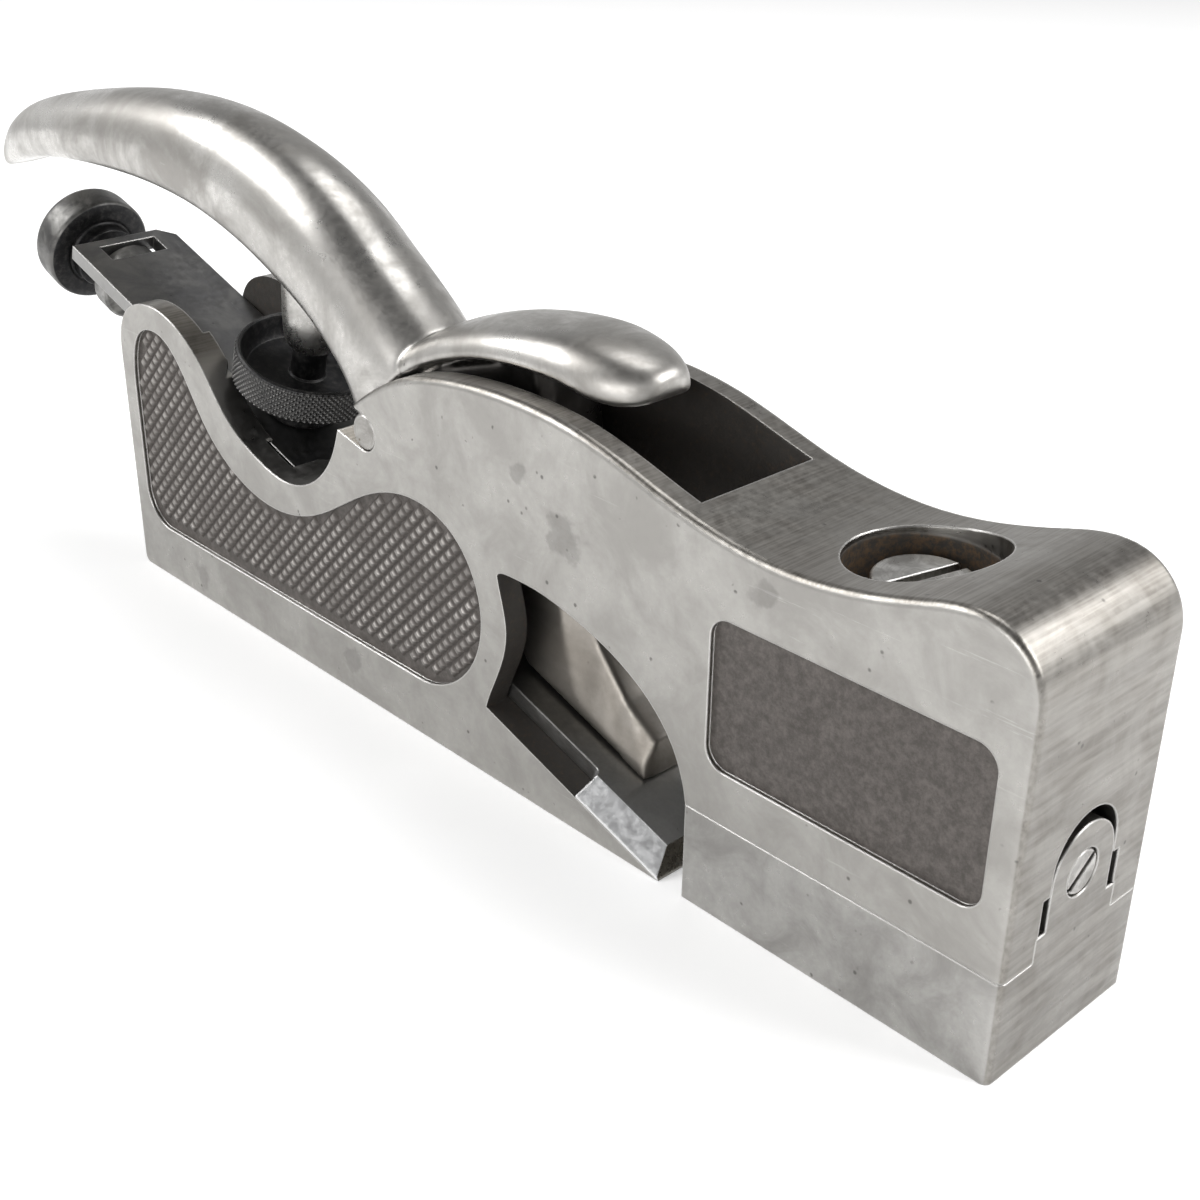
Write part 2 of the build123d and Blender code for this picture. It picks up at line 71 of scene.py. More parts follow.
# Directions of the cutter's bed, its cutting edge, and places taken from the joints
bedAngle = math.radians(18)
edgeFromHeel = 149.6 * mm
upBed = Vector((-math.cos(bedAngle), 0, math.sin(bedAngle)))
offBed = Vector((math.sin(bedAngle), 0, math.cos(bedAngle)))
edgePoint = Vector((heelX + edgeFromHeel, 0, 0))
spindlePoint = Vector(joints["adjuster_turn"]["pos_m"])
wheelPoint = Vector(joints["lever_screw_turn"]["pos_m"])
clampPoint = Vector(joints["clamp_turn"]["pos_m"])
mouthPoint = Vector(joints["mouth_screw_turn"]["pos_m"])
pinPoint = Vector(joints["lever_rock"]["pos_m"])


# Adds a node: a socket given as a value is linked, anything else is typed in.
def add(tree, kind, inputs=None, **settings):
    node = tree.nodes.new("ShaderNode" + kind)
    for name, value in settings.items():
        setattr(node, name, value)
    for name, value in (inputs or {}).items():
        if isinstance(value, bpy.types.NodeSocket):
            tree.links.new(value, node.inputs[name])
        else:
            node.inputs[name].default_value = value
    return node


def calc(tree, operation, first, second=0.0, third=0.0):
    return add(tree, "Math", {0: first, 1: second, 2: third}, operation=operation).outputs[0]


# 0 below low, 1 above high, smooth between
def fade(tree, value, low, high, bottom=0.0, top=1.0):
    node = add(tree, "MapRange", {"Value": value, "From Min": low, "From Max": high,
                                  "To Min": bottom, "To Max": top}, interpolation_type="SMOOTHSTEP")
    return node.outputs["Result"]


def blendColour(tree, mask, under, over, mode="MIX"):
    node = add(tree, "Mix", data_type="RGBA", blend_type=mode)
    for index, value in ((0, mask), (6, under), (7, over)):
        if isinstance(value, bpy.types.NodeSocket):
            tree.links.new(value, node.inputs[index])
        elif index == 0:
            node.inputs[0].default_value = value
        else:
            node.inputs[index].default_value = (*value, 1)
    return node.outputs[2]


def newGroup(name, inputs, outputs):
    tree = bpy.data.node_groups.new(name, "ShaderNodeTree")
    for label, kind, value in inputs:
        socket = tree.interface.new_socket(label, in_out="INPUT", socket_type="NodeSocket" + kind)
        socket.default_value = value
    for label, kind in outputs:
        tree.interface.new_socket(label, in_out="OUTPUT", socket_type="NodeSocket" + kind)
    return tree, tree.nodes.new("NodeGroupInput").outputs, tree.nodes.new("NodeGroupOutput").inputs


def useGroup(tree, group, inputs=None):
    node = tree.nodes.new("ShaderNodeGroup")
    node.node_tree = group
    for name, value in (inputs or {}).items():
        if isinstance(value, bpy.types.NodeSocket):
            tree.links.new(value, node.inputs[name])
        else:
            node.inputs[name].default_value = value
    return node.outputs


def newMaterial(name, **fixed):
    material = bpy.data.materials.new(name)
    material.use_nodes = True
    tree = material.node_tree
    shader = tree.nodes["Principled BSDF"]
    for label, value in fixed.items():
        shader.inputs[label.replace("_", " ")].default_value = value
    return material, tree, shader


# Cloudy tone, fine tone and small dark pits of handled iron
def makeHandledIron():
    tree, inputs, outputs = newGroup("handledIron",
                                     [("Cloud size", "Float", 90.0), ("Pit size", "Float", 700.0),
                                      ("Pits", "Float", 0.5)],
                                     [("Cloud", "Float"), ("Fine", "Float"), ("Pits", "Float")])
    place = add(tree, "TexCoord").outputs["Object"]
    cloud = add(tree, "TexNoise", {"Vector": place, "Scale": inputs["Cloud size"], "Detail": 5.0,
                                   "Roughness": 0.62, "Distortion": 0.6}).outputs["Fac"]
    fine = add(tree, "TexNoise", {"Vector": place, "Scale": inputs["Pit size"], "Detail": 4.0,
                                  "Roughness": 0.7}).outputs["Fac"]
    cells = add(tree, "TexVoronoi", {"Vector": place, "Scale": inputs["Pit size"], "Randomness": 1.0})
    core = fade(tree, cells.outputs["Distance"], 0.28, 0.12)
    kept = add(tree, "TexNoise", {"Vector": place, "Scale": 260.0, "Detail": 2.0}).outputs["Fac"]
    limit = calc(tree, "SUBTRACT", 0.78, calc(tree, "MULTIPLY", inputs["Pits"], 0.26))
    chosen = fade(tree, calc(tree, "SUBTRACT", kept, limit), 0.0, 0.06)
    tree.links.new(fade(tree, cloud, 0.32, 0.68), outputs["Cloud"])
    tree.links.new(fine, outputs["Fine"])
    tree.links.new(calc(tree, "MULTIPLY", core, chosen), outputs["Pits"])
    return tree


# Fine parallel lines left by a grinding wheel or a file; Stretch is the scale along each axis
def makeGroundLines():
    tree, inputs, outputs = newGroup("groundLines", [("Stretch", "Vector", (60.0, 3000.0, 3000.0))],
                                     [("Lines", "Float"), ("Scratches", "Float")])
    place = add(tree, "TexCoord").outputs["Object"]
    scaled = add(tree, "VectorMath", {0: place, 1: inputs["Stretch"]}, operation="MULTIPLY").outputs[0]
    lines = add(tree, "TexNoise", {"Vector": scaled, "Scale": 1.0, "Detail": 3.0}).outputs["Fac"]
    wide = add(tree, "VectorMath", {0: scaled, 1: (0.31, 0.31, 0.31)}, operation="MULTIPLY").outputs[0]
    deep = add(tree, "TexNoise", {"Vector": wide, "Scale": 1.0, "Detail": 5.0,
                                 "Roughness": 0.8}).outputs["Fac"]
    tree.links.new(lines, outputs["Lines"])
    tree.links.new(fade(tree, deep, 0.63, 0.7), outputs["Scratches"])
    return tree


# Softened corner normal, and a mask of where the corners are rubbed
def makeRubbedEdges():
    tree, inputs, outputs = newGroup("rubbedEdges", [("Radius", "Float", 0.0006)],
                                     [("Normal", "Vector"), ("Rubbed", "Float")])
    soft = add(tree, "Bevel", {"Radius": inputs["Radius"]}, samples=4).outputs["Normal"]
    plain = add(tree, "NewGeometry").outputs["Normal"]
    likeness = add(tree, "VectorMath", {0: soft, 1: plain}, operation="DOT_PRODUCT").outputs["Value"]
    tree.links.new(soft, outputs["Normal"])
    tree.links.new(fade(tree, likeness, 0.995, 0.86), outputs["Rubbed"])
    return tree


# Old oil stain with a ragged rim around a point
def makeOilStain():
    tree, inputs, outputs = newGroup("oilStain", [("Centre", "Vector", (0, 0, 0)),
                                              ("Radius", "Float", 0.005)],
                                     [("Stain", "Float")])
    place = add(tree, "TexCoord").outputs["Object"]
    ragged = add(tree, "TexNoise", {"Vector": place, "Scale": 330.0, "Detail": 4.0}).outputs["Fac"]
    reach = add(tree, "VectorMath", {0: place, 1: inputs["Centre"]}, operation="DISTANCE").outputs["Value"]
    share = calc(tree, "DIVIDE", reach, inputs["Radius"])
    rim = calc(tree, "ADD", share, calc(tree, "MULTIPLY_ADD", ragged, 1.9, -0.95))
    tree.links.new(fade(tree, rim, 0.95, 0.55), outputs["Stain"])
    return tree


handledIron = makeHandledIron()
groundLines = makeGroundLines()
rubbedEdges = makeRubbedEdges()
oilStain = makeOilStain()


# Mask that is 1 where value lies between low and high
def between(tree, value, low, high, soft=0.0001):
    return calc(tree, "MULTIPLY", fade(tree, value, low - soft, low + soft),
                fade(tree, value, high + soft, high - soft))


# Distance of each point from an axis
def axisDistance(tree, place, centre, axis):
    arm = add(tree, "VectorMath", {0: place, 1: tuple(centre)}, operation="SUBTRACT").outputs[0]
    crossed = add(tree, "VectorMath", {0: arm, 1: tuple(axis)}, operation="CROSS_PRODUCT").outputs[0]
    return add(tree, "VectorMath", {0: crossed}, operation="LENGTH").outputs["Value"]


# Links colour, roughness and a bump of the height, over a softened normal where one is given
def linkSurface(tree, shader, tone, shine, height, strength, distance, normal=None):
    settings = {"Strength": strength, "Distance": distance, "Height": height}
    if normal:
        settings["Normal"] = normal
    bump = add(tree, "Bump", settings)
    tree.links.new(tone, shader.inputs["Base Color"])
    tree.links.new(shine, shader.inputs["Roughness"])
    tree.links.new(bump.outputs["Normal"], shader.inputs["Normal"])


print("shared effects made")

# Iron of the body and the toe piece: colours
groundIronLook = {
    "side": (0.40, 0.39, 0.37),
    "sideDark": (0.31, 0.30, 0.283),
    # the top colours are darker than the side colours: partly the cross-ground finish, partly painted shade
    "top": (0.27, 0.255, 0.232),
    "topDark": (0.16, 0.147, 0.13),
    "rubbed": (0.72, 0.71, 0.69),
    "pit": (0.09, 0.085, 0.08),
    # painted highlight colour on the saddle
    "saddleHighlight": (0.58, 0.57, 0.55),
    "castFloor": (0.115, 0.103, 0.095),
    "castDark": (0.062, 0.055, 0.05),
    # near-black painted shade of the channel and throat, also the dark under the rust
    "throat": (0.055, 0.05, 0.045),
    "rust": (0.13, 0.085, 0.05),
}
# Where the body is left as cast, where it is rusty, where painted shade darkens the channel and throat, and
# where a painted highlight lightens the saddle. Each pair is where a mask starts and ends, in metres:
# depth below the side face, distance from the middle, x from the heel, z above the sole.
bodyZones = {
    "recessTop": (0.0002, 0.0004), "recessFloor": (0.0020, 0.0016),
    "channelHalf": (0.0118, 0.0116), "channelX": (0.0006, 0.1512), "channelFoot": (0.0006, 0.0010),
    "throatX": (0.1075, 0.1550), "throatZ": (0.0008, 0.0385),
    "counterboreReach": (0.0145, 0.0125), "counterboreRim": (0.0592, 0.0585),
    "saddleX": (0.0235, 0.0725), "saddleTop": (0.0525, 0.0490),
}
counterboreCentre = (toeX - 0.029, 0, 0.052)
# Place as x from the heel, y and z, and radius, in millimetres
oilStains = [((128.5, -15.9, 50.0), 4.5), ((167.0, -15.9, 55.5), 3.0), ((118.0, -15.9, 57.0), 2.2),
             ((22.0, -15.9, 4.5), 3.5), ((73.0, -15.9, 6.5), 3.0), ((86.0, 15.9, 6.0), 4.0),
             ((140.0, 15.9, 52.0), 5.0)]


def makeGroundIron(name, look, zones):
    material, tree, shader = newMaterial(name, Metallic=1.0)
    place = add(tree, "TexCoord")
    spot = add(tree, "SeparateXYZ", {0: place.outputs["Object"]}).outputs
    facing = add(tree, "SeparateXYZ", {0: place.outputs["Normal"]}).outputs
    iron = useGroup(tree, handledIron, {"Cloud size": 95.0, "Pit size": 620.0, "Pits": 0.62})
    alongLines = useGroup(tree, groundLines, {"Stretch": (90.0, 900.0, 2600.0)})
    acrossLines = useGroup(tree, groundLines, {"Stretch": (2600.0, 70.0, 900.0)})
    edges = useGroup(tree, rubbedEdges, {"Radius": 0.0005})
    sideMask = fade(tree, calc(tree, "ABSOLUTE", facing["Y"]), 0.75, 0.92)

    sideTone = blendColour(tree, iron["Cloud"], look["sideDark"], look["side"])
    scratched = calc(tree, "MULTIPLY", alongLines["Scratches"], 0.22)
    sideTone = blendColour(tree, scratched, sideTone, look["rubbed"])
    topTone = blendColour(tree, fade(tree, acrossLines["Lines"], 0.3, 0.72), look["topDark"], look["top"])
    topTone = blendColour(tree, calc(tree, "MULTIPLY", iron["Cloud"], 0.35), topTone, look["side"])
    # Faces turned up get the darker top colours: partly their cross-ground finish, partly painted shade
    tone = blendColour(tree, sideMask, topTone, sideTone)
    fineTone = fade(tree, iron["Fine"], 0.3, 0.75, 0.0, 0.3)
    tone = blendColour(tree, fineTone, tone, look["sideDark"])
    tone = blendColour(tree, calc(tree, "MULTIPLY", iron["Pits"], 0.75), tone, look["pit"])
    stained = 0.0
    for (x, y, z), radius in oilStains:
        centre = (heelX + x * mm, y * mm, z * mm)
        mask = useGroup(tree, oilStain, {"Centre": centre, "Radius": radius * mm})["Stain"]
        stained = calc(tree, "MAXIMUM", stained, mask)
    tone = blendColour(tree, calc(tree, "MULTIPLY", stained, 0.30), tone, look["pit"])
    tone = blendColour(tree, calc(tree, "MULTIPLY", edges["Rubbed"], 0.8), tone, look["rubbed"])

    shine = fade(tree, iron["Fine"], 0.25, 0.8, 0.30, 0.44)
    shine = calc(tree, "MULTIPLY_ADD", iron["Cloud"], -0.05, shine)
    lineHeight = blendColour(tree, sideMask, acrossLines["Lines"], alongLines["Lines"])
    height = calc(tree, "MULTIPLY_ADD", iron["Pits"], -2.0, lineHeight)
    height = calc(tree, "MULTIPLY_ADD", iron["Fine"], 0.8, height)

    if zones:
        reach = calc(tree, "ABSOLUTE", spot["Y"])
        sideways = calc(tree, "ABSOLUTE", facing["Y"])
        belowTop = fade(tree, reach, *(sideY - depth for depth in zones["recessTop"]))
        aboveFloor = fade(tree, reach, *(sideY - depth for depth in zones["recessFloor"]))
        castFloor = calc(tree, "MULTIPLY", calc(tree, "MULTIPLY", belowTop, aboveFloor),
                         fade(tree, sideways, 0.9, 0.97))
        # Painted shade: inner walls of the channel and the throat are darkened to near black, with a little
        # rust grain, and made rougher
        inside = calc(tree, "MULTIPLY", fade(tree, reach, *zones["channelHalf"]),
                      between(tree, spot["X"], *(heelX + x for x in zones["channelX"])))
        inside = calc(tree, "MULTIPLY", inside, fade(tree, spot["Z"], *zones["channelFoot"]))
        inside = calc(tree, "MULTIPLY", inside, fade(tree, facing["Z"], 0.5, 0.3))
        throat = calc(tree, "MULTIPLY", between(tree, spot["X"], *(heelX + x for x in zones["throatX"])),
                      between(tree, spot["Z"], *zones["throatZ"]))
        throat = calc(tree, "MULTIPLY", throat, fade(tree, sideways, 0.6, 0.3))
        dark = calc(tree, "MAXIMUM", inside, throat)
        counterbore = add(tree, "VectorMath", {0: place.outputs["Object"], 1: counterboreCentre},
                          operation="DISTANCE").outputs["Value"]
        rusty = calc(tree, "MULTIPLY", fade(tree, counterbore, *zones["counterboreReach"]),
                     fade(tree, spot["Z"], *zones["counterboreRim"]))
        grain = add(tree, "TexNoise", {"Vector": place.outputs["Object"], "Scale": 900.0, "Detail": 6.0,
                                       "Roughness": 0.75}).outputs["Fac"]
        castTone = blendColour(tree, fade(tree, grain, 0.35, 0.7), look["castDark"], look["castFloor"])
        rustTone = blendColour(tree, fade(tree, grain, 0.4, 0.65), look["throat"], look["rust"])
        throatTone = blendColour(tree, calc(tree, "MULTIPLY", fade(tree, grain, 0.5, 0.75), 0.4),
                                 look["throat"], look["rust"])
        # Painted highlight: the saddle's upward faces are lightened towards a bright colour
        saddleHighlight = calc(tree, "MULTIPLY", between(tree, spot["X"], *(heelX + x for x in zones["saddleX"])),
                      fade(tree, facing["Z"], 0.15, 0.4))
        saddleHighlight = calc(tree, "MULTIPLY", saddleHighlight, fade(tree, spot["Z"], *zones["saddleTop"]))
        tone = blendColour(tree, calc(tree, "MULTIPLY", saddleHighlight, 0.75), tone, look["saddleHighlight"])
        tone = blendColour(tree, dark, tone, throatTone)
        tone = blendColour(tree, castFloor, tone, castTone)
        tone = blendColour(tree, rusty, tone, rustTone)
        rough = calc(tree, "MAXIMUM", calc(tree, "MAXIMUM", dark, castFloor), rusty)
        shine = calc(tree, "MULTIPLY_ADD", rough, 0.22, shine)
        height = calc(tree, "MULTIPLY_ADD", calc(tree, "MULTIPLY", grain, rough), 16.0, height)
        metallic = fade(tree, rough, 0.0, 1.0, 1.0, 0.55)
        tree.links.new(metallic, shader.inputs["Metallic"])

    linkSurface(tree, shader, tone, shine, height, 0.35, 0.000012, edges["Normal"])
    return material


bodyIron = makeGroundIron("bodyIron", groundIronLook, bodyZones)
toeIron = makeGroundIron("toeIron", {**groundIronLook, "side": (0.42, 0.412, 0.396),
                                     "sideDark": (0.27, 0.262, 0.25)}, None)


# Polished iron of the lever
polishedIronLook = {
    "bright": (0.60, 0.588, 0.565),
    "dull": (0.30, 0.288, 0.27),
    "pit": (0.07, 0.065, 0.06),
    "rubbed": (0.78, 0.77, 0.74),
    # painted shadow under the thumb rest
    "hollow": (0.035, 0.031, 0.028),
    "asCast": (0.20, 0.175, 0.145),
}
# The leg is as cast below a height, in metres. The painted shadow under the thumb rest ends at a parabola
# over x, in millimetres from the heel and the sole.
leverZones = {"legTop": (0.050, 0.036), "restMiddle": 112, "restEdge": 69.9, "restFall": -0.011,
              "restSoft": (-0.1, -0.7), "restBack": (-31.0, -28.0), "restFoot": (0.042, 0.050)}


def makePolishedIron(look, zones):
    material, tree, shader = newMaterial("polishedIron", Metallic=1.0)
    place = add(tree, "TexCoord").outputs["Object"]
    iron = useGroup(tree, handledIron, {"Cloud size": 60.0, "Pit size": 760.0, "Pits": 0.4})
    strokes = useGroup(tree, groundLines, {"Stretch": (220.0, 1500.0, 900.0)})
    wide = add(tree, "TexNoise", {"Vector": place, "Scale": 28.0, "Detail": 3.0,
                                  "Distortion": 1.2}).outputs["Fac"]
    tone = blendColour(tree, iron["Cloud"], look["dull"], look["bright"])
    tone = blendColour(tree, fade(tree, wide, 0.4, 0.75, 0.0, 0.45), tone, look["dull"])
    tone = blendColour(tree, fade(tree, iron["Fine"], 0.35, 0.8, 0.0, 0.35), tone, look["dull"])
    tone = blendColour(tree, calc(tree, "MULTIPLY", iron["Pits"], 0.8), tone, look["pit"])
    tone = blendColour(tree, calc(tree, "MULTIPLY", strokes["Scratches"], 0.12), tone, look["rubbed"])
    spot = add(tree, "SeparateXYZ", {0: place}).outputs
    low = fade(tree, spot["Z"], *zones["legTop"])
    tone = blendColour(tree, calc(tree, "MULTIPLY", low, 0.62), tone, look["asCast"])
    # Painted shadow: the casting's side below the thumb rest's lower edge is darkened to near black
    fromRest = calc(tree, "DIVIDE", calc(tree, "SUBTRACT", spot["X"], heelX + zones["restMiddle"] * mm), mm)
    restEdge = calc(tree, "MULTIPLY_ADD", calc(tree, "MULTIPLY", fromRest, fromRest),
                    zones["restFall"], zones["restEdge"])
    aboveEdge = calc(tree, "SUBTRACT", calc(tree, "DIVIDE", spot["Z"], mm), restEdge)
    shadowUnderRest = fade(tree, aboveEdge, *zones["restSoft"])
    shadowUnderRest = calc(tree, "MULTIPLY", shadowUnderRest, fade(tree, fromRest, *zones["restBack"]))
    shadowUnderRest = calc(tree, "MULTIPLY", shadowUnderRest, fade(tree, spot["Z"], *zones["restFoot"]))
    tone = blendColour(tree, calc(tree, "MULTIPLY", shadowUnderRest, 0.9), tone, look["hollow"])
    shine = fade(tree, iron["Cloud"], 0.0, 1.0, 0.36, 0.24)
    shine = calc(tree, "MULTIPLY_ADD", fade(tree, iron["Fine"], 0.3, 0.8), 0.10, shine)
    shine = calc(tree, "MULTIPLY_ADD", low, 0.12, shine)
    height = calc(tree, "MULTIPLY_ADD", iron["Pits"], -3.0, strokes["Lines"])
    height = calc(tree, "MULTIPLY_ADD", iron["Fine"], 1.6, height)
    height = calc(tree, "MULTIPLY_ADD", wide, 40.0, height)
    linkSurface(tree, shader, tone, shine, height, 0.4, 0.000014)
    return material


polishedIron = makePolishedIron(polishedIronLook, leverZones)


# Steel of the cutter
cutterLook = {
    "tang": (0.13, 0.13, 0.132),
    "tangWorn": (0.19, 0.188, 0.182),
    "ground": (0.93, 0.935, 0.94),
    "face": (0.34, 0.335, 0.325),
    "bevel": (0.30, 0.285, 0.25),
    "rubbed": (0.5, 0.49, 0.47),
    "scratch": (0.6, 0.6, 0.6),
    "pit": (0.03, 0.028, 0.026),
}
# Distances from the cutting edge along the bed, in metres
cutterZones = {"tangEnd": (0.050, 0.034), "headEnd": (0.0212, 0.0204), "bevelEnd": (0.0042, 0.0040)}


def makeCutterSteel(look, zones):
    material, tree, shader = newMaterial("cutterSteel", Metallic=1.0)
    place = add(tree, "TexCoord")
    fromEdge = add(tree, "VectorMath", {0: place.outputs["Object"], 1: tuple(edgePoint)},
                   operation="SUBTRACT")
    along = add(tree, "VectorMath", {0: fromEdge.outputs[0], 1: tuple(upBed)},
                operation="DOT_PRODUCT").outputs["Value"]
    facingFront = add(tree, "VectorMath", {0: place.outputs["Normal"], 1: tuple(-upBed)},
                      operation="DOT_PRODUCT").outputs["Value"]
    facing = add(tree, "SeparateXYZ", {0: place.outputs["Normal"]}).outputs
    iron = useGroup(tree, handledIron, {"Cloud size": 120.0, "Pit size": 700.0, "Pits": 0.55})
    lines = useGroup(tree, groundLines, {"Stretch": (70.0, 1400.0, 2600.0)})
    edges = useGroup(tree, rubbedEdges, {"Radius": 0.0004})
    tang = blendColour(tree, iron["Cloud"], look["tang"], look["tangWorn"])
    face = blendColour(tree, iron["Fine"], look["face"], look["tangWorn"])
    tone = blendColour(tree, fade(tree, along, *zones["tangEnd"]), tang, face)
    head = fade(tree, along, *zones["headEnd"])
    side = calc(tree, "MULTIPLY", head, fade(tree, calc(tree, "ABSOLUTE", facing["Y"]), 0.35, 0.5))
    front = calc(tree, "MULTIPLY", fade(tree, along, *zones["bevelEnd"]), fade(tree, facingFront, 0.4, 0.6))
    tone = blendColour(tree, side, tone, look["ground"])
    tone = blendColour(tree, front, tone, look["bevel"])
    tangSide = calc(tree, "MULTIPLY", fade(tree, calc(tree, "ABSOLUTE", facing["Y"]), 0.8, 0.95),
                    calc(tree, "SUBTRACT", 1.0, head))
    tone = blendColour(tree, calc(tree, "MULTIPLY", tangSide, 0.6), tone, look["face"])
    tone = blendColour(tree, calc(tree, "MULTIPLY", edges["Rubbed"], 0.55), tone, look["rubbed"])
    tone = blendColour(tree, calc(tree, "MULTIPLY", lines["Scratches"], 0.14), tone, look["scratch"])
    fewerPits = calc(tree, "SUBTRACT", 0.6, calc(tree, "MULTIPLY", side, 0.55))
    tone = blendColour(tree, calc(tree, "MULTIPLY", iron["Pits"], fewerPits), tone, look["pit"])
    shine = fade(tree, iron["Fine"], 0.25, 0.8, 0.30, 0.46)
    shine = calc(tree, "MULTIPLY_ADD", side, -0.02, shine)
    shine = calc(tree, "MULTIPLY_ADD", front, -0.08, shine)
    height = calc(tree, "MULTIPLY_ADD", iron["Fine"], 1.2, lines["Lines"])
    linkSurface(tree, shader, tone, shine, height, 0.3, 0.00001, edges["Normal"])
    return material


cutterSteel = makeCutterSteel(cutterLook, cutterZones)


# Blackened steel of the screws.
# The oxide is worn through where the distance from the axis passes wornFrom.
blackSteelLook = {"black": (0.016, 0.016, 0.017), "dust": (0.075, 0.072, 0.068), "worn": (0.30, 0.295, 0.285)}


def makeBlackSteel(name, look, centre, axis, wornFrom):
    material, tree, shader = newMaterial(name, Metallic=0.85)
    place = add(tree, "TexCoord").outputs["Object"]
    radius = axisDistance(tree, place, centre, axis)
    iron = useGroup(tree, handledIron, {"Cloud size": 170.0, "Pit size": 800.0, "Pits": 0.3})
    edges = useGroup(tree, rubbedEdges, {"Radius": 0.0003})
    worn = fade(tree, radius, wornFrom, wornFrom + 0.00022)
    worn = calc(tree, "MULTIPLY", worn, fade(tree, iron["Cloud"], 0.0, 1.0, 0.35, 1.0))
    tone = blendColour(tree, fade(tree, iron["Fine"], 0.4, 0.8, 0.0, 0.6), look["black"], look["dust"])
    tone = blendColour(tree, calc(tree, "MULTIPLY", worn, 0.8), tone, look["worn"])
    tone = blendColour(tree, calc(tree, "MULTIPLY", edges["Rubbed"], 0.35), tone, look["worn"])
    shine = fade(tree, iron["Fine"], 0.25, 0.8, 0.34, 0.55)
    linkSurface(tree, shader, tone, shine, iron["Fine"], 0.4, 0.00002, edges["Normal"])
    return material


wheelBlack = makeBlackSteel("wheelBlack", blackSteelLook, wheelPoint, offBed, 0.01345)
knobBlack = makeBlackSteel("knobBlack", {**blackSteelLook, "worn": (0.16, 0.157, 0.15)},
                           spindlePoint, upBed, 0.0107)
spindleBlack = makeBlackSteel("spindleBlack", {**blackSteelLook, "worn": (0.34, 0.335, 0.32)},
                              spindlePoint, upBed, 0.0024)


# Turned steel: rings about an axis
turnedSteelLook = {"bright": (0.60, 0.59, 0.57), "dull": (0.27, 0.26, 0.245), "stain": (0.12, 0.095, 0.07),
                   "rubbed": (0.8, 0.79, 0.77)}


def makeTurnedSteel(name, look, centre, axis, ringWidth):
    material, tree, shader = newMaterial(name, Metallic=1.0)
    place = add(tree, "TexCoord").outputs["Object"]
    radius = axisDistance(tree, place, centre, axis)
    iron = useGroup(tree, handledIron, {"Cloud size": 260.0, "Pit size": 900.0, "Pits": 0.7})
    edges = useGroup(tree, rubbedEdges, {"Radius": 0.0004})
    ringPlace = add(tree, "CombineXYZ", {0: calc(tree, "DIVIDE", radius, ringWidth)}).outputs[0]
    rings = add(tree, "TexNoise", {"Vector": ringPlace, "Scale": 1.0, "Detail": 3.0}).outputs["Fac"]
    tone = blendColour(tree, iron["Cloud"], look["dull"], look["bright"])
    tone = blendColour(tree, fade(tree, rings, 0.4, 0.7, 0.0, 0.4), tone, look["dull"])
    tone = blendColour(tree, calc(tree, "MULTIPLY", iron["Pits"], 0.8), tone, look["stain"])
    tone = blendColour(tree, calc(tree, "MULTIPLY", edges["Rubbed"], 0.7), tone, look["rubbed"])
    shine = fade(tree, iron["Fine"], 0.25, 0.8, 0.26, 0.42)
    height = calc(tree, "MULTIPLY_ADD", iron["Fine"], 1.0, rings)
    linkSurface(tree, shader, tone, shine, height, 0.4, 0.00002, edges["Normal"])
    return material


clampSteel = makeTurnedSteel("clampSteel", turnedSteelLook, clampPoint, Vector((0, 0, 1)), 0.00025)
mouthSteel = makeTurnedSteel("mouthSteel", turnedSteelLook, mouthPoint, Vector((1, 0, 0)), 0.0002)
pinSteel = makeTurnedSteel("pinSteel", {**turnedSteelLook, "bright": (0.40, 0.39, 0.37),
                                        "dull": (0.24, 0.23, 0.215)}, pinPoint, Vector((0, 1, 0)), 0.0002)

carriedMaterials = {
    "body": bodyIron, "toe_piece": toeIron, "cutter": cutterSteel,
    "adjuster_bush": pinSteel, "adjuster_knob_pin": spindleBlack, "toe_stop_pin": pinSteel,
    "toe_clamp_washer": clampSteel, "toe_clamp_screw": clampSteel, "mouth_adjusting_screw": mouthSteel,
    "lever_pin": pinSteel, "lever_screw_pad": wheelBlack,
}
for nodeName, material in carriedMaterials.items():
    node = nodes[nodeName]
    for materialSlot in node.material_slots:
        materialSlot.material = material
print("materials made")


# A mesh piece from points and faces, linked to the scene
def newPiece(name, points, faces, material, smooth=True):
    mesh = bpy.data.meshes.new(name)
    mesh.from_pydata([tuple(point) for point in points], [], faces)
    mesh.validate()
    work = bmesh.new()
    work.from_mesh(mesh)
    bmesh.ops.recalc_face_normals(work, faces=work.faces)
    work.to_mesh(mesh)
    work.free()
    for face in mesh.polygons:
        face.use_smooth = smooth
    mesh.materials.append(material)
    piece = bpy.data.objects.new(name, mesh)
    bpy.context.scene.collection.objects.link(piece)
    return piece


# A smooth line through points of any size, closed or open, steps points to a span
def smoothLine(points, steps, closed=False):
    count = len(points)
    spans = count if closed else count - 1
    line = []
    for span in range(spans):
        around = []
        for offset in (-1, 0, 1, 2):
            index = span + offset
            around.append(points[index % count] if closed else points[min(max(index, 0), count - 1)])
        for step in range(steps):
            t = step / steps
            line.append(tuple(0.5 * (2 * b + (c - a) * t + (2 * a - 5 * b + 4 * c - d) * t * t
                                     + (3 * b - a - 3 * c + d) * t ** 3)
                              for a, b, c, d in zip(*around)))
    if not closed:
        line.append(tuple(points[-1]))
    return line


# Joins rings of equal length into a closed skin
def skin(rings):
    size = len(rings[0])
    points = [point for ring in rings for point in ring]
    faces = []
    for row in range(len(rings) - 1):
        for column in range(size):
            after = (column + 1) % size
            faces.append((row * size + column, row * size + after,
                          (row + 1) * size + after, (row + 1) * size + column))
    faces.append(tuple(range(size)))
    faces.append(tuple(range((len(rings) - 1) * size, len(rings) * size)))
    return points, faces


